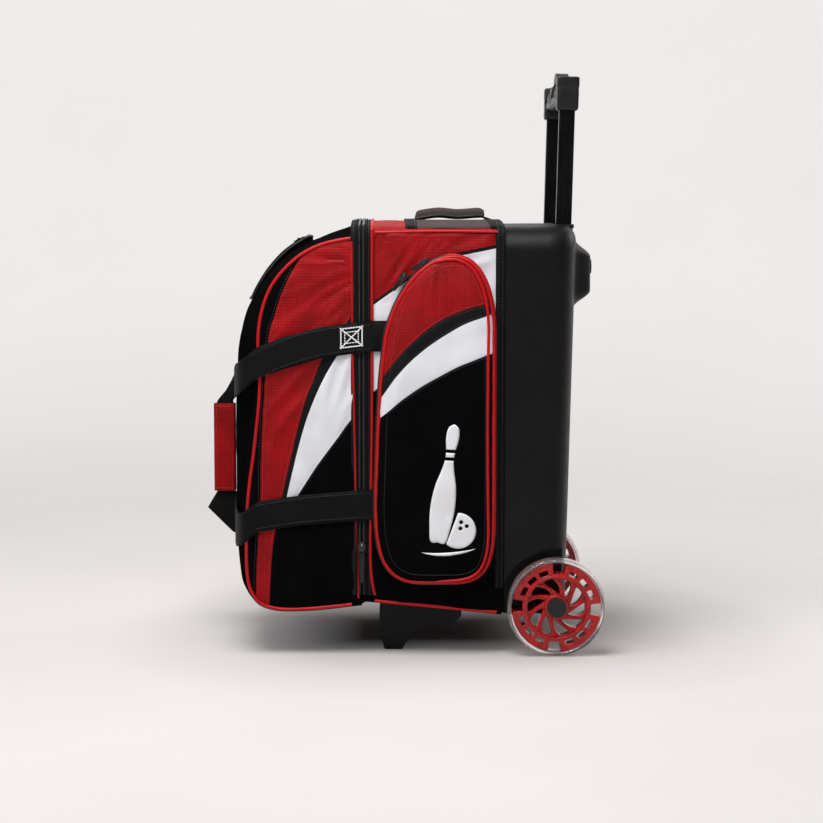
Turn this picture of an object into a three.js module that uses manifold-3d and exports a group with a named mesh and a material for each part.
// A wheeled bowling bag for two balls: a moulded rear trunk on two wheels, a sewn fabric
// compartment with a shoe pocket on each side, a zipped front lid, two carry straps that
// meet in a padded wrap, a telescoping pull handle and a moulded front stand.
// Millimetres. +X points to the rear, +Y along the axle, +Z up. While it is built, X = 0 is
// the wheel axle; the whole bag is then centred over the origin.
import * as THREE from "three";
import { mergeVertices } from "three/addons/utils/BufferGeometryUtils.js";
import Module from "manifold-3d";

const wasm = await Module();
wasm.setup();

// ---- Driving dimensions ----
const GAP = 0.3; // left between touching pieces
const WALL = 3; // moulded and sewn walls
const LEAN = THREE.MathUtils.degToRad(1.4); // the trunk's back and the handle lean rearwards

const WHEEL_R = 63.5; // 5 inch wheels
const WHEEL_Y = 165; // middle of each wheel
const WHEEL_WIDTH = 24;
const RIM_R = 57.4;
const BORE_R = 11;
const AXLE_R = 5;
const CAP_R = 12.3;
const CAP_FACE_Y = 179;

const TRUNK_FRONT = -66.7;
const TRUNK_HALF_WIDTH = 160;
const TRUNK_BOTTOM = 51;
const TRUNK_TOP = 556;
const TRUNK_SHOULDER = 515;
const WELL_R = 73.7;
const WELL_Y = 146; // the wheel wells reach in to here
const LEAN_X = 24; // the trunk's back leans about this line at the height of POST_Z
const BOSS = { low: 450, high: 532, half: 100, centre: 10, face: 49.1, corner: 22 };
const BEYOND = 60; // how far a trimming form reaches past what it trims

const MAIN_FRONT = -249.7;
const MAIN_REAR = TRUNK_FRONT - GAP - 0.2;
const MAIN_HALF_WIDTH = 158;
const MAIN_BOTTOM_FRONT = 72;
const MAIN_BOTTOM_REAR = 58;
const MAIN_SHOULDER = 537;
const MAIN_TOP = 559;

const LID_REAR = -250.3;
const LID_SIDE = 4; // thickness of the lid's side walls
const SPLIT_X = (MAIN_FRONT + LID_REAR) / 2;

const PARTITION_Y = 114;
const BAY_X = -122; // middle of both balls
const BALL_R = 108;
const BOARD_TOP = 84;
const SHELF_Z = 318;
const CUP_HEIGHT = 26;
const CUP_SIZE = 200;

const POST_Y = 95;
const POST_X = 12; // middle of the posts where they leave the trunk
const POST_Z = 537;
const TUBE = [24, 16];
const POST = [20.4, 12.4];
const TUBE_WALL = 1.4;
const COLLAR = [26, 26];
const GRIP_RISE = 163; // how far the handle is pulled out

const STRAP_WIDTH = 39;
const STRAP_T = 2.5;
const STRAP_ROOT_X = -240;
const STRAP_Y = 162; // middle of the webbing where it lies along the side
const STRAP_TIP_X = -462;

const X_SHIFT = -(STRAP_TIP_X + WHEEL_R) / 2; // centres the bag over the origin

// ---- Helpers ----
const BLACK_FABRIC = [0x1c1c1e, 0.9, 0];
const BLACK_PLASTIC = [0x18181a, 0.42, 0];
const WEBBING = [0x161617, 0.85, 0];
const RED_FABRIC = [0xb41a22, 0.7, 0];
const RED_PLASTIC = [0xc8141c, 0.35, 0];
const CLEAR_TYRE = [0xe8d8d4, 0.2, 0];
const ALUMINIUM = [0x2a2a2c, 0.35, 0.8];
const STEEL = [0x8c8c90, 0.35, 1];
const FOAM = [0x3a3a3c, 0.95, 0];
const BOARD = [0x2c2c2e, 0.8, 0];

const root = new THREE.Group();
root.position.x = X_SHIFT;

// Adds one named mesh with its own material to the bag.
function piece(name, geometry, [color, roughness, metalness]) {
  const material = new THREE.MeshStandardMaterial({ color, roughness, metalness });
  const mesh = new THREE.Mesh(geometry, material);
  mesh.name = name;
  root.add(mesh);
  return mesh;
}

// The same geometry on the other side of the bag's middle plane.
function mirrored(geometry) {
  const copy = geometry.index ? geometry.toNonIndexed() : geometry.clone();
  const p = copy.attributes.position;
  for (let i = 0; i < p.count; i += 3) {
    const corners = [0, 2, 1].map((k) => [p.getX(i + k), -p.getY(i + k), p.getZ(i + k)]);
    corners.forEach((c, k) => p.setXYZ(i + k, ...c));
  }
  copy.computeVertexNormals();
  return copy;
}

// A piece on the near side (-Y) and its mirror image on the far side.
function pair(name, geometry, finish) {
  piece(`${name}_near`, geometry, finish);
  piece(`${name}_far`, mirrored(geometry), finish);
}

function solid(geometry) {
  const plain = new THREE.BufferGeometry();
  const flat = geometry.index ? geometry.toNonIndexed() : geometry;
  plain.setAttribute("position", flat.getAttribute("position"));
  const merged = mergeVertices(plain, 1e-3);
  return new wasm.Manifold(
    new wasm.Mesh({
      numProp: 3,
      vertProperties: merged.attributes.position.array,
      triVerts: new Uint32Array(merged.index.array),
    }),
  );
}

function geometryOf(manifold) {
  const mesh = manifold.getMesh();
  const geometry = new THREE.BufferGeometry();
  geometry.setAttribute("position", new THREE.BufferAttribute(mesh.vertProperties, 3));
  geometry.setIndex(new THREE.BufferAttribute(mesh.triVerts, 1));
  geometry.computeVertexNormals();
  return geometry;
}

const X = new THREE.Vector3(1, 0, 0);
const Y = new THREE.Vector3(0, 1, 0);
const Z = new THREE.Vector3(0, 0, 1);

function extruded(shape, depth, curveSegments = 8) {
  return new THREE.ExtrudeGeometry(shape, { depth, bevelEnabled: false, steps: 1, curveSegments });
}

// A shape drawn in X and Z, filled between two values of Y.
function alongY(shape, low, high, curveSegments) {
  const turn = new THREE.Matrix4().makeBasis(X, Z, Y.clone().negate());
  return extruded(shape, high - low, curveSegments).applyMatrix4(turn).translate(0, high, 0);
}

// A shape drawn in X and Y, filled between two heights.
function alongZ(shape, low, high, curveSegments) {
  return extruded(shape, high - low, curveSegments).translate(0, 0, low);
}

// A shape drawn in Y and Z, filled between two values of X.
function alongX(shape, low, high, curveSegments) {
  const turn = new THREE.Matrix4().makeBasis(Y, Z, X);
  return extruded(shape, high - low, curveSegments).applyMatrix4(turn).translate(low, 0, 0);
}

function box([x0, x1], [y0, y1], [z0, z1]) {
  return new THREE.BoxGeometry(x1 - x0, y1 - y0, z1 - z0).translate(
    (x0 + x1) / 2,
    (y0 + y1) / 2,
    (z0 + z1) / 2,
  );
}

function polygon(points) {
  return new THREE.Shape(points.map(([a, b]) => new THREE.Vector2(a, b)));
}

function roundedRectangle(width, height, radius) {
  const w = width / 2;
  const h = height / 2;
  const shape = new THREE.Shape();
  shape.moveTo(w - radius, -h);
  shape.absarc(w - radius, -h + radius, radius, -Math.PI / 2, 0);
  shape.absarc(w - radius, h - radius, radius, 0, Math.PI / 2);
  shape.absarc(-w + radius, h - radius, radius, Math.PI / 2, Math.PI);
  shape.absarc(-w + radius, -h + radius, radius, Math.PI, 1.5 * Math.PI);
  return shape;
}

// A round piece on the line X = x, Z = z, between two values of Y.
function disc(radius, low, high, [x, z], segments = 32) {
  return new THREE.CylinderGeometry(radius, radius, high - low, segments)
    .translate(0, (low + high) / 2, 0)
    .translate(x, 0, z);
}

// A closed solid between two matching grids of points: grid[i][j] is a Vector3. The first
// grid is the outside, the second the inside.
function solidBetween(outside, inside) {
  const rows = outside.length;
  const columns = outside[0].length;
  const positions = [];
  const quad = (a, b, c, d) => {
    for (const v of [a, b, c, a, c, d]) positions.push(v.x, v.y, v.z);
  };
  for (let i = 0; i + 1 < rows; i++)
    for (let j = 0; j + 1 < columns; j++) {
      quad(outside[i][j], outside[i][j + 1], outside[i + 1][j + 1], outside[i + 1][j]);
      quad(inside[i][j], inside[i + 1][j], inside[i + 1][j + 1], inside[i][j + 1]);
    }
  for (let i = 0; i + 1 < rows; i++) {
    quad(outside[i][0], outside[i + 1][0], inside[i + 1][0], inside[i][0]);
    const k = columns - 1;
    quad(outside[i + 1][k], outside[i][k], inside[i][k], inside[i + 1][k]);
  }
  for (let j = 0; j + 1 < columns; j++) {
    quad(outside[0][j + 1], outside[0][j], inside[0][j], inside[0][j + 1]);
    const k = rows - 1;
    quad(outside[k][j], outside[k][j + 1], inside[k][j + 1], inside[k][j]);
  }
  const geometry = new THREE.BufferGeometry();
  geometry.setAttribute("position", new THREE.Float32BufferAttribute(positions, 3));
  geometry.computeVertexNormals();
  return geometry;
}

// ---- Rear trunk: a moulded shell, open to the front ----

// The trunk's full form, drawn in by an inset for its inner face.
function trunkForm(inset) {
  const front = inset ? TRUNK_FRONT - 10 : TRUNK_FRONT;
  const w = TRUNK_HALF_WIDTH - inset;
  const plan = new THREE.Shape();
  plan.moveTo(front - 20, -w);
  plan.lineTo(-10, -w);
  plan.bezierCurveTo(10 - inset, -w, 22 - inset, -w + 10, 26 - inset, -w + 34);
  plan.bezierCurveTo(29 - inset, -90, 33 - inset, -40, 33 - inset, 0);
  plan.bezierCurveTo(33 - inset, 40, 29 - inset, 90, 26 - inset, w - 34);
  plan.bezierCurveTo(22 - inset, w - 10, 10 - inset, w, -10, w);
  plan.lineTo(front - 20, w);
  const top = TRUNK_TOP - inset;
  const shoulder = TRUNK_SHOULDER;
  const bottom = TRUNK_BOTTOM + inset;
  const across = new THREE.Shape();
  across.moveTo(-w, bottom);
  across.lineTo(w, bottom);
  across.lineTo(w, shoulder);
  across.bezierCurveTo(w, shoulder + 24, w - 12, top - 10, w - 36, top - 6);
  across.quadraticCurveTo(w / 2, top, 0, top);
  across.quadraticCurveTo(-w / 2, top, -w + 36, top - 6);
  across.bezierCurveTo(-w + 12, top - 10, -w, shoulder + 24, -w, shoulder);
  const side = new THREE.Shape();
  side.moveTo(front, bottom);
  side.lineTo(0, bottom);
  side.quadraticCurveTo(17 - inset, bottom, 19 - inset, 84);
  side.lineTo(40, 110);
  side.lineTo(40, top - 20);
  side.quadraticCurveTo(36 - inset, top, 16, top + 1);
  side.lineTo(front, top + 1);
  const planned = alongZ(plan, bottom - BEYOND, top + BEYOND, 6);
  planned.translate(-LEAN_X, 0, -POST_Z).rotateY(LEAN).translate(LEAN_X, 0, POST_Z);
  const form = solid(planned).intersect(solid(alongX(across, front - BEYOND, BEYOND, 6)));
  return form.intersect(solid(alongY(side, -w - 1, w + 1, 6)));
}

// The hump at the top of the trunk's back that the bumper pads stand on.
function trunkBoss() {
  const { low, high, half, centre, face, corner } = BOSS;
  const hump = new THREE.Shape();
  hump.moveTo(centre, low);
  hump.quadraticCurveTo(face - 11, low + 8, face - 3, low + 22);
  hump.quadraticCurveTo(face + 0.4, 488, face - 0.1, 506);
  hump.quadraticCurveTo(face - 5, high - 8, centre, high);
  const plan = roundedRectangle(2 * (face - centre) + 2, 2 * half, corner);
  const seen = solid(alongY(hump, -half, half, 5));
  return seen.intersect(solid(alongZ(plan, low - 1, high + 1, 5).translate(centre, 0, 0)));
}

// A tube or post cross-section drawn about the handle's own axis.
function section([depth, width], wall = 0) {
  const shape = roundedRectangle(depth, width, 2.5);
  if (wall) shape.holes.push(roundedRectangle(depth - 2 * wall, width - 2 * wall, 1.2));
  return shape;
}

// Puts a geometry drawn about the handle's axis (Z = 0 where it leaves the trunk) in place.
function onHandle(geometry, y = 0) {
  return geometry.rotateY(LEAN).translate(POST_X, y, POST_Z);
}

function rearTrunk() {
  let body = trunkForm(0).add(trunkBoss());
  body = body.subtract(trunkForm(WALL));
  for (const side of [-1, 1]) {
    const range = (a, b) => (side < 0 ? [-b, -a] : [a, b]);
    const [wall0, wall1] = range(WELL_Y - WALL, TRUNK_HALF_WIDTH + 1);
    const wall = solid(disc(WELL_R + WALL, wall0, wall1, [0, WHEEL_R], 48));
    body = body.add(wall.intersect(trunkForm(0)));
    const [cut0, cut1] = range(WELL_Y, TRUNK_HALF_WIDTH + 10);
    body = body.subtract(solid(disc(WELL_R, cut0, cut1, [0, WHEEL_R], 48)));
    const [hole0, hole1] = range(WELL_Y - WALL - 2, WELL_Y + 2);
    body = body.subtract(solid(disc(AXLE_R + 0.4, hole0, hole1, [0, WHEEL_R], 20)));
    const slot = extruded(roundedRectangle(COLLAR[0] + 0.6, COLLAR[1] + 0.6, 4.3), 60, 4);
    body = body.subtract(solid(onHandle(slot, side * POST_Y)));
  }
  return geometryOf(body);
}

piece("rear_trunk", rearTrunk(), BLACK_PLASTIC);

const PAD_Y = 60;
const PAD_Z = 499;
const PAD_R = 9.5;
const PAD_T = 3;
const padGeometry = new THREE.CylinderGeometry(PAD_R, PAD_R, PAD_T, 24)
  .rotateZ(Math.PI / 2)
  .translate(BOSS.face + GAP + PAD_T / 2, -PAD_Y, PAD_Z);
pair("bumper_pad", padGeometry, BLACK_PLASTIC);

// ---- Wheels, axle and bearings ----
const AXIS = [0, WHEEL_R];

// A ring turned from a closed profile of [radius, distance from the wheel's middle] points.
function turned(profile, segments, y) {
  const points = profile.map(([r, h]) => new THREE.Vector2(r, h));
  points.push(points[0].clone());
  return new THREE.LatheGeometry(points, segments).translate(0, y, WHEEL_R);
}

// The red wheel body: a rim, a hub and curved spokes between teardrop openings.
function hubGeometry(y) {
  const shape = new THREE.Shape();
  shape.absarc(0, 0, RIM_R, 0, 2 * Math.PI);
  const bore = new THREE.Path();
  bore.absarc(0, 0, BORE_R + GAP, 0, 2 * Math.PI, true);
  shape.holes.push(bore);
  const openings = 10;
  for (let i = 0; i < openings; i++) {
    const turn = (i / openings) * 2 * Math.PI;
    const at = (r, swing) => [r * Math.cos(turn + swing), r * Math.sin(turn + swing)];
    const hole = new THREE.Path();
    hole.moveTo(...at(17, 0.1));
    hole.quadraticCurveTo(...at(28, 0.1), ...at(38, 0.5));
    hole.quadraticCurveTo(...at(38.5, 0.72), ...at(36, 0.8));
    hole.quadraticCurveTo(...at(24, 0.55), ...at(17, 0.1));
    shape.holes.push(hole);
  }
  const half = WHEEL_WIDTH / 2 - 2;
  return alongY(shape, -half, half, 12).translate(0, y, WHEEL_R);
}

const half = WHEEL_WIDTH / 2;
const tyreProfile = [
  [RIM_R + GAP, -half + 2],
  [RIM_R + 2, -half],
  [WHEEL_R - 3, -half],
  [WHEEL_R - 0.7, -half + 3],
  [WHEEL_R, 0],
  [WHEEL_R - 0.7, half - 3],
  [WHEEL_R - 3, half],
  [RIM_R + 2, half],
  [RIM_R + GAP, half - 2],
];
pair("wheel_tyre", turned(tyreProfile, 48, -WHEEL_Y), CLEAR_TYRE);
pair("wheel_hub", hubGeometry(-WHEEL_Y), RED_PLASTIC);
const bearingProfile = [
  [AXLE_R + 0.1, -4],
  [BORE_R, -4],
  [BORE_R, 4],
  [AXLE_R + 0.1, 4],
];
pair("wheel_bearing", turned(bearingProfile, 24, -WHEEL_Y), STEEL);
const capStart = WHEEL_Y + WHEEL_WIDTH / 2 - 2 + GAP;
pair("wheel_cap", disc(CAP_R, -CAP_FACE_Y, -capStart, AXIS, 28), BLACK_PLASTIC);
piece("axle", disc(AXLE_R, -capStart + 1, capStart - 1, AXIS, 24), STEEL);

// ---- Pull handle ----
const TUBE_FOOT = -436;
const TUBE_HEAD = 12;
const POST_FOOT = -268;
const tubeGeometry = extruded(section(TUBE, TUBE_WALL), TUBE_HEAD - TUBE_FOOT, 3);
pair("handle_tube", onHandle(tubeGeometry.translate(0, 0, TUBE_FOOT), -POST_Y), ALUMINIUM);

const COLLAR_HEIGHT = 5;
const collarShape = roundedRectangle(...COLLAR, 4);
collarShape.holes.push(roundedRectangle(POST[0] + 0.8, POST[1] + 0.8, 2.5));
const collarGeometry = extruded(collarShape, COLLAR_HEIGHT, 4).translate(0, 0, TUBE_HEAD + GAP);
pair("handle_collar", onHandle(collarGeometry, -POST_Y), BLACK_PLASTIC);

const POST_SOCKET = 24; // how far each post reaches into the grip
const postLength = GRIP_RISE + POST_SOCKET - POST_FOOT;
const postGeometry = extruded(section(POST, 1.2), postLength, 3).translate(0, 0, POST_FOOT);
pair("handle_post", onHandle(postGeometry, -POST_Y), ALUMINIUM);

const PLUG_LENGTH = 24;
const plugGeometry = extruded(section(POST), PLUG_LENGTH, 3);
plugGeometry.translate(0, 0, POST_FOOT - PLUG_LENGTH - GAP);
pair("lock_plug", onHandle(plugGeometry, -POST_Y), BLACK_PLASTIC);

const GRIP_HEIGHT = 44;
const GRIP_END = [28, 22]; // each end block, seen from above
const BAR_HALF = 104;
const BUTTON_HALF = 24;
const BUTTON_DEPTH = 16;
const YOKE_FOOT = POST_SOCKET + 4.6; // clears the posts by the button's travel
const YOKE_TOP = YOKE_FOOT + 3.6;
const BUTTON_FOOT = YOKE_TOP + 0.4;

function gripGeometry() {
  const bar = new THREE.Shape();
  bar.moveTo(-15, 10);
  bar.quadraticCurveTo(-20, 26, -13, 38);
  bar.quadraticCurveTo(-8, GRIP_HEIGHT, 0, GRIP_HEIGHT);
  bar.quadraticCurveTo(12, GRIP_HEIGHT, 13, 34);
  bar.lineTo(13, 14);
  bar.quadraticCurveTo(8, 8, -15, 10);
  let grip = solid(alongY(bar, -BAR_HALF, BAR_HALF, 5));
  for (const side of [-1, 1]) {
    const end = extruded(roundedRectangle(...GRIP_END, 5), GRIP_HEIGHT, 4);
    grip = grip.add(solid(end.translate(0, side * POST_Y, 0)));
    const socket = extruded(roundedRectangle(POST[0] + 0.6, POST[1] + 0.6, 2.6), POST_SOCKET + 1.3, 3);
    grip = grip.subtract(solid(socket.translate(0, side * POST_Y, -1)));
  }
  grip = grip.subtract(solid(box([-4.5, 4.5], [-POST_Y - 3.6, POST_Y + 3.6], [20, YOKE_TOP + 0.8])));
  const well = box(
    [-BUTTON_DEPTH / 2 - GAP, BUTTON_DEPTH / 2 + GAP],
    [-BUTTON_HALF - GAP, BUTTON_HALF + GAP],
    [POST_SOCKET, GRIP_HEIGHT + 10],
  );
  return geometryOf(grip.subtract(solid(well))).translate(0, 0, GRIP_RISE);
}
piece("handle_grip", onHandle(gripGeometry()), BLACK_PLASTIC);

const domeShape = new THREE.Shape();
domeShape.moveTo(-BUTTON_HALF, BUTTON_FOOT);
domeShape.lineTo(BUTTON_HALF, BUTTON_FOOT);
domeShape.lineTo(BUTTON_HALF, GRIP_HEIGHT + 2);
domeShape.bezierCurveTo(14, GRIP_HEIGHT + 16, -14, GRIP_HEIGHT + 16, -BUTTON_HALF, GRIP_HEIGHT + 2);
const buttonGeometry = alongX(domeShape, -BUTTON_DEPTH / 2, BUTTON_DEPTH / 2, 8);
piece("release_button", onHandle(buttonGeometry.translate(0, 0, GRIP_RISE)), BLACK_PLASTIC);

// The yoke under the button, with a rod down each hollow post to the lock.
function yokeGeometry() {
  let yoke = solid(box([-3.5, 3.5], [-POST_Y + 3, POST_Y - 3], [YOKE_FOOT, YOKE_TOP]));
  for (const side of [-1, 1]) {
    const y = side * POST_Y;
    const rod = box([-3, 3], [y - 3, y + 3], [POST_FOOT + 6 - GRIP_RISE, YOKE_TOP]);
    yoke = yoke.add(solid(rod));
  }
  return geometryOf(yoke).translate(0, 0, GRIP_RISE);
}
piece("release_yoke", onHandle(yokeGeometry()), STEEL);

// ---- Main fabric compartment ----

// The height of the compartment's underside at one place along X.
function mainBottom(x) {
  const share = (x - MAIN_FRONT) / (MAIN_REAR - MAIN_FRONT);
  return MAIN_BOTTOM_FRONT + share * (MAIN_BOTTOM_REAR - MAIN_BOTTOM_FRONT);
}

// The outline of a side shoe pocket, in X and Z; a larger inset draws a smaller D.
function pocketOutline(inset, Path = THREE.Shape) {
  const i = inset;
  const outline = new Path();
  outline.moveTo(-82 - i, 163);
  outline.lineTo(-82 - i, 417);
  outline.bezierCurveTo(-83 - i, 470, -97 - i, 515 - i, -130, 515.5 - i);
  outline.bezierCurveTo(-170, 515 - i, -205 + i, 470 - i, -218 + i, 415);
  outline.bezierCurveTo(-228 + i, 350, -228 + i, 300, -232 + i, 201);
  outline.bezierCurveTo(-232 + i, 130, -222 + i, 98 + i, -175, 96 + i);
  outline.lineTo(-130, 96 + i);
  outline.bezierCurveTo(-95 - i, 97 + i, -84 - i, 115 + i, -82 - i, 163);
  return outline;
}

const POCKET_RIM = 8; // width of the stiff rim around the pocket's mouth
const sideShape = polygon([
  [MAIN_FRONT, mainBottom(MAIN_FRONT) + WALL + GAP],
  [MAIN_REAR, mainBottom(MAIN_REAR) + WALL + GAP],
  [MAIN_REAR, MAIN_SHOULDER - GAP],
  [MAIN_FRONT, MAIN_SHOULDER - GAP],
]);
sideShape.holes.push(pocketOutline(POCKET_RIM, THREE.Path));
const sideGeometry = alongY(sideShape, -MAIN_HALF_WIDTH, -MAIN_HALF_WIDTH + WALL, 8);
pair("main_side", sideGeometry, RED_FABRIC);

// The top of a fabric section seen from the front: two walls with rounded corners and a crown.
function archShape(outer, inner, foot) {
  const edge = (w, crown, drop) => {
    const path = new THREE.Path();
    path.moveTo(w, foot);
    path.lineTo(w, MAIN_SHOULDER);
    path.quadraticCurveTo(w, MAIN_SHOULDER + 12 - drop, w - 14, crown - 9);
    path.quadraticCurveTo(w / 2, crown, 0, crown);
    path.quadraticCurveTo(-w / 2, crown, -w + 14, crown - 9);
    path.quadraticCurveTo(-w, MAIN_SHOULDER + 12 - drop, -w, MAIN_SHOULDER);
    path.lineTo(-w, foot);
    return path.getPoints(6);
  };
  const outside = edge(MAIN_HALF_WIDTH + outer, MAIN_TOP + outer, -outer);
  const inside = edge(MAIN_HALF_WIDTH - inner, MAIN_TOP - inner, inner);
  return new THREE.Shape([...outside, ...inside.reverse()]);
}

piece("main_top", alongX(archShape(0, WALL, MAIN_SHOULDER), MAIN_FRONT, MAIN_REAR), RED_FABRIC);

const bottomShape = polygon([
  [MAIN_FRONT, mainBottom(MAIN_FRONT)],
  [MAIN_REAR, mainBottom(MAIN_REAR)],
  [MAIN_REAR, mainBottom(MAIN_REAR) + WALL],
  [MAIN_FRONT, mainBottom(MAIN_FRONT) + WALL],
]);
piece("main_bottom", alongY(bottomShape, -MAIN_HALF_WIDTH, MAIN_HALF_WIDTH), BLACK_FABRIC);

const TAPE_T = 2;
const TAPE_FOOT = 84;
const BINDING_FOOT = 100;
const bindingShape = archShape(TAPE_T + GAP, -GAP, BINDING_FOOT);
piece("trunk_binding", alongX(bindingShape, -76.5, MAIN_REAR), WEBBING);
const tapeShape = archShape(TAPE_T + GAP, -GAP, TAPE_FOOT);
piece("zip_tape_main", alongX(tapeShape, MAIN_FRONT, -236.2), BLACK_FABRIC);

// ---- Shoe pockets ----
const POCKET_GUSSET_Y = 168;
const POCKET_FACE_Y = 176;
const gussetShape = pocketOutline(0);
gussetShape.holes.push(pocketOutline(POCKET_RIM, THREE.Path));
const gussetGeometry = alongY(gussetShape, -POCKET_GUSSET_Y, -MAIN_HALF_WIDTH - GAP, 8);
pair("pocket_gusset", gussetGeometry, BLACK_FABRIC);
const flapLow = -POCKET_FACE_Y;
const flapHigh = -POCKET_GUSSET_Y - GAP;
pair("pocket_flap", alongY(pocketOutline(0.5), flapLow, flapHigh, 8), BLACK_FABRIC);

// ---- Zipper sliders, each with its pull ----

// A slider with a flat pull hanging from it, standing out from a wall that faces -Y.
function sliderGeometry(pullLength) {
  const body = new THREE.Shape();
  body.moveTo(-4, -7);
  body.lineTo(4, -7);
  body.lineTo(5.5, 4);
  body.quadraticCurveTo(5, 8, 0, 8);
  body.quadraticCurveTo(-5, 8, -5.5, 4);
  const pull = roundedRectangle(6, pullLength, 2.5);
  const pullSolid = alongY(pull, -4.4, -2.6, 3).translate(0, 0, -pullLength / 2 + 2);
  return geometryOf(solid(alongY(body, -3, 0, 3)).add(solid(pullSolid)));
}
const LID_SLIDER_Z = 140;
const lidSlider = sliderGeometry(42);
lidSlider.translate(SPLIT_X, -MAIN_HALF_WIDTH - TAPE_T - 2 * GAP, LID_SLIDER_Z);
pair("lid_zip_slider", lidSlider, STEEL);
const pocketSlider = sliderGeometry(14).translate(-205, -POCKET_GUSSET_Y + 5, 483);
pair("pocket_zip_slider", pocketSlider, STEEL);

// ---- Inside: floor board, partitions, shelf and foam cups ----
const BOARD_T = 4;
const BAY_FRONT = -236;
const BAY_REAR = -14;
const bayWidth = [-PARTITION_Y + GAP, PARTITION_Y - GAP];
piece("floor_board", box([BAY_FRONT, BAY_REAR], bayWidth, [BOARD_TOP - BOARD_T, BOARD_TOP]), BOARD);
const partitionGeometry = box([BAY_FRONT, BAY_REAR], [-PARTITION_Y - 2, -PARTITION_Y], [80, 536]);
pair("bay_partition", partitionGeometry, BOARD);
const shelfLevel = [SHELF_Z, SHELF_Z + BOARD_T];
piece("ball_shelf", box([BAY_FRONT, BAY_REAR], bayWidth, shelfLevel), BOARD);

// A square foam block with a spherical seat for a ball.
function ballCup(floor) {
  const h = CUP_SIZE / 2;
  const block = box([BAY_X - h, BAY_X + h], [-h, h], [floor + GAP, floor + CUP_HEIGHT]);
  const ball = new THREE.SphereGeometry(BALL_R + 1, 32, 20).translate(BAY_X, 0, floor + 9 + BALL_R);
  return geometryOf(solid(block).subtract(solid(ball)));
}
piece("lower_ball_cup", ballCup(BOARD_TOP), FOAM);
piece("upper_ball_cup", ballCup(SHELF_Z + BOARD_T), FOAM);

// ---- Front lid ----

// Two matching outlines of the lid in X and Z, from the bottom rear edge round the front to
// the top rear edge: one along its side seams and one down its middle.
const LID_SIDE_OUTLINE = [
  [LID_REAR, 70],
  [-318, 64],
  [-364, 65],
  [-388, 78],
  [-397, 112],
  [-396, 200],
  [-387, 272],
  [-380, 345],
  [-381, 418],
  [-367, 470],
  [-337, 507],
  [-300, 528],
  [LID_REAR, 538],
];
const LID_MIDDLE_OUTLINE = [
  [LID_REAR, 66],
  [-318, 57],
  [-372, 56],
  [-401, 67],
  [-414, 104],
  [-418, 190],
  [-418, 270],
  [-417, 345],
  [-411, 412],
  [-392, 464],
  [-355, 508],
  [-310, 533],
  [LID_REAR, 556],
];
const LID_STEPS = 36;

function splinePoints(outline) {
  return new THREE.SplineCurve(outline.map(([x, z]) => new THREE.Vector2(x, z))).getPoints(LID_STEPS);
}

// Moves an outline inwards by a distance, square to itself.
function drawnIn(points, distance) {
  return points.map((p, i) => {
    const before = points[Math.max(i - 1, 0)];
    const after = points[Math.min(i + 1, points.length - 1)];
    const along = after.clone().sub(before).normalize();
    if (i === 0 || i === points.length - 1) return new THREE.Vector2(p.x, p.y + (i ? -1 : 1) * distance);
    return new THREE.Vector2(p.x + along.y * distance, p.y - along.x * distance);
  });
}

const lidSidePoints = splinePoints(LID_SIDE_OUTLINE);
const lidMiddlePoints = splinePoints(LID_MIDDLE_OUTLINE);

// One row of the lid's wrap-round panel at a distance y from the middle plane.
function lidRow(y, distance) {
  const share = Math.pow(Math.abs(y) / MAIN_HALF_WIDTH, 2.6);
  const side = drawnIn(lidSidePoints, distance);
  const middle = drawnIn(lidMiddlePoints, distance);
  return middle.map((m, j) => {
    const p = m.clone().lerp(side[j], share);
    return new THREE.Vector3(p.x, y, p.y);
  });
}

const LID_WALL = 4;
const lidHalf = MAIN_HALF_WIDTH - LID_SIDE - GAP;
const lidRows = 12;
const lidStations = Array.from({ length: lidRows + 1 }, (_, i) => (i / lidRows) * 2 - 1);
const lidGrid = (d) => lidStations.map((s) => lidRow(s * lidHalf, d));
piece("lid_front", solidBetween(lidGrid(0), lidGrid(LID_WALL)), BLACK_FABRIC);
const lidSideShape = new THREE.Shape(lidSidePoints);
pair("lid_side", alongY(lidSideShape, -MAIN_HALF_WIDTH, -MAIN_HALF_WIDTH + LID_SIDE), RED_FABRIC);
piece("zip_tape_lid", alongX(tapeShape, -263.5, LID_REAR), BLACK_FABRIC);

// ---- Carry straps and their wrap ----

// The strap loop seen from the side: an arm above, an arm below and the run between them.
const STRAP_SEEN = [
  [STRAP_ROOT_X, 431],
  [-300, 423.5],
  [-351, 410],
  [-382, 398],
  [-412, 374],
  [-436, 331],
  [-447, 318],
  [-449.5, 312],
  [-447, 196],
  [STRAP_TIP_X, 171],
  [-427, 136],
  [-412, 137],
  [-382, 161],
  [-326, 169.5],
  [STRAP_ROOT_X, 176],
  [STRAP_ROOT_X, 215],
  [-326, 208],
  [-382, 200],
  [-408, 182],
  [-426.6, 194],
  [-426.6, 318],
  [-412, 333],
  [-382, 359],
  [-351, 369],
  [-300, 384],
  [STRAP_ROOT_X, 392],
];

// The strap seen from above: along the side, round the lid's corner and in to the middle.
function strapPlan() {
  const path = new THREE.Path();
  path.moveTo(STRAP_ROOT_X, -STRAP_Y);
  path.lineTo(-390, -STRAP_Y);
  path.bezierCurveTo(-404, -STRAP_Y, -409, -150, -413, -125);
  path.bezierCurveTo(-417, -95, -419.6, -60, -420, -22);
  path.bezierCurveTo(-420.2, -9, -421.5, -2.6, -426, -2.6);
  path.lineTo(STRAP_TIP_X, -2.6);
  const line = path.getPoints(7);
  const offset = (distance) =>
    line.map((p, i) => {
      const before = line[Math.max(i - 1, 0)];
      const after = line[Math.min(i + 1, line.length - 1)];
      const along = after.clone().sub(before).normalize();
      return new THREE.Vector2(p.x - along.y * distance, p.y + along.x * distance);
    });
  return new THREE.Shape([...offset(STRAP_T / 2), ...offset(-STRAP_T / 2).reverse()]);
}

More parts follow.
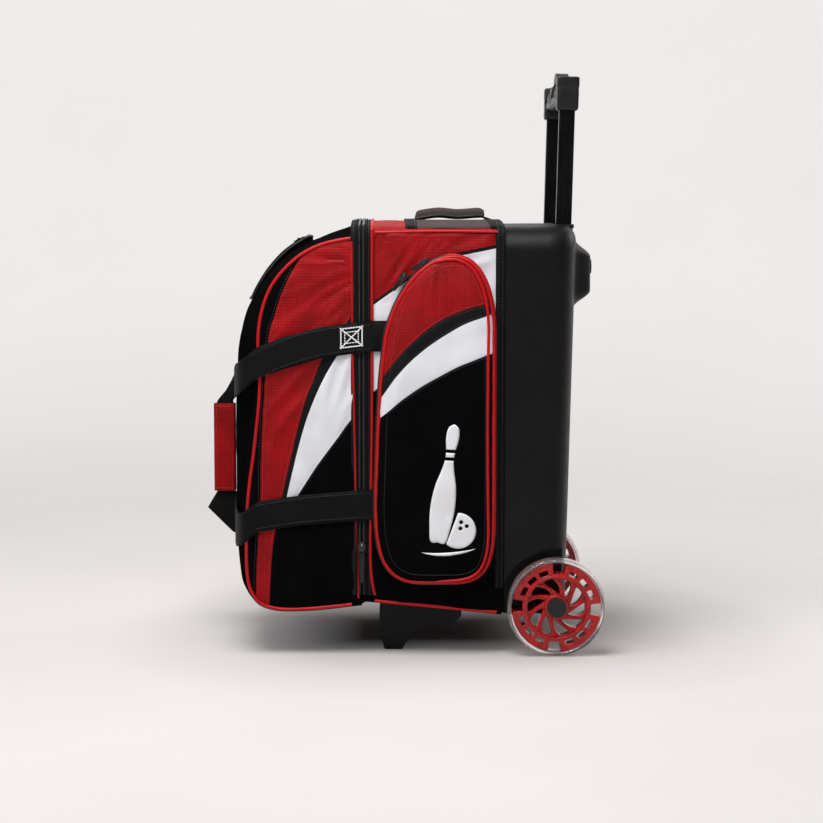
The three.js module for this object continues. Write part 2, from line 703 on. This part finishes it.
const strapBand = solid(alongZ(strapPlan(), 120, 440));
const strapSeen = solid(alongY(polygon(STRAP_SEEN), -180, 0));
const strapGeometry = geometryOf(strapBand.intersect(strapSeen));
pair("carry_strap", strapGeometry, WEBBING);

// The stubs of webbing sewn into the bag where each strap arm starts.
const anchorShape = (rear, low, high) =>
  polygon([
    [STRAP_ROOT_X + GAP, low],
    [rear, low],
    [rear, high],
    [STRAP_ROOT_X + GAP, high],
  ]);
const anchorSpan = [-STRAP_Y - STRAP_T / 2, -STRAP_Y + STRAP_T / 2];
pair("upper_strap_anchor", alongY(anchorShape(-224, 392.5, 431), ...anchorSpan), WEBBING);
pair("lower_strap_anchor", alongY(anchorShape(-235, 176.5, 215), ...anchorSpan), WEBBING);

// Each half of the padded wrap is a channel that holds one strap's upright run.
function wrapHalf() {
  const outer = solid(box([-452.5, -423.5], [-9, -GAP / 2], [194, 313]));
  return geometryOf(outer.subtract(solid(box([-449.9, -426.2], [-4.3, 1], [190, 320]))));
}
pair("strap_wrap", wrapHalf(), RED_FABRIC);

// ---- Top handle ----
const handleSide = new THREE.Shape();
handleSide.moveTo(-194, MAIN_TOP + 0.6);
handleSide.quadraticCurveTo(-184, 569, -170, 569);
handleSide.lineTo(-102, 569);
handleSide.quadraticCurveTo(-88, 569, -78, MAIN_TOP + 0.6);
handleSide.lineTo(-90, MAIN_TOP + 0.6);
handleSide.quadraticCurveTo(-94, 565, -106, 565);
handleSide.lineTo(-166, 565);
handleSide.quadraticCurveTo(-178, 565, -182, MAIN_TOP + 0.6);
piece("top_handle", alongY(handleSide, -STRAP_WIDTH / 2, STRAP_WIDTH / 2, 4), WEBBING);

// ---- Front stand ----
const FOOT_INNER = 52;
const FOOT_OUTER = 127;

function standGeometry() {
  const foot = new THREE.Shape();
  foot.moveTo(-222, 4);
  foot.quadraticCurveTo(-222, 0, -218, 0);
  foot.lineTo(-198, 0);
  foot.bezierCurveTo(-190, 14, -184, 24, -176.5, 28.5);
  foot.quadraticCurveTo(-166, 36, -157, 36);
  foot.lineTo(-134, 32);
  foot.lineTo(-121, 43);
  foot.lineTo(-119, mainBottom(-119) - GAP);
  foot.lineTo(-226, mainBottom(-226) - GAP);
  foot.quadraticCurveTo(-231, 30, -222, 4);
  const plate = polygon([
    [-225, mainBottom(-225) - GAP],
    [-225, mainBottom(-225) - 9],
    [-120, mainBottom(-120) - 9],
    [-120, mainBottom(-120) - GAP],
  ]);
  let stand = solid(alongY(plate, -FOOT_OUTER, FOOT_OUTER));
  for (const [low, high] of [
    [-FOOT_OUTER, -FOOT_INNER],
    [FOOT_INNER, FOOT_OUTER],
  ])
    stand = stand.add(solid(alongY(foot, low, high, 5)));
  return geometryOf(stand);
}
piece("front_stand", standGeometry(), BLACK_PLASTIC);

export default root;
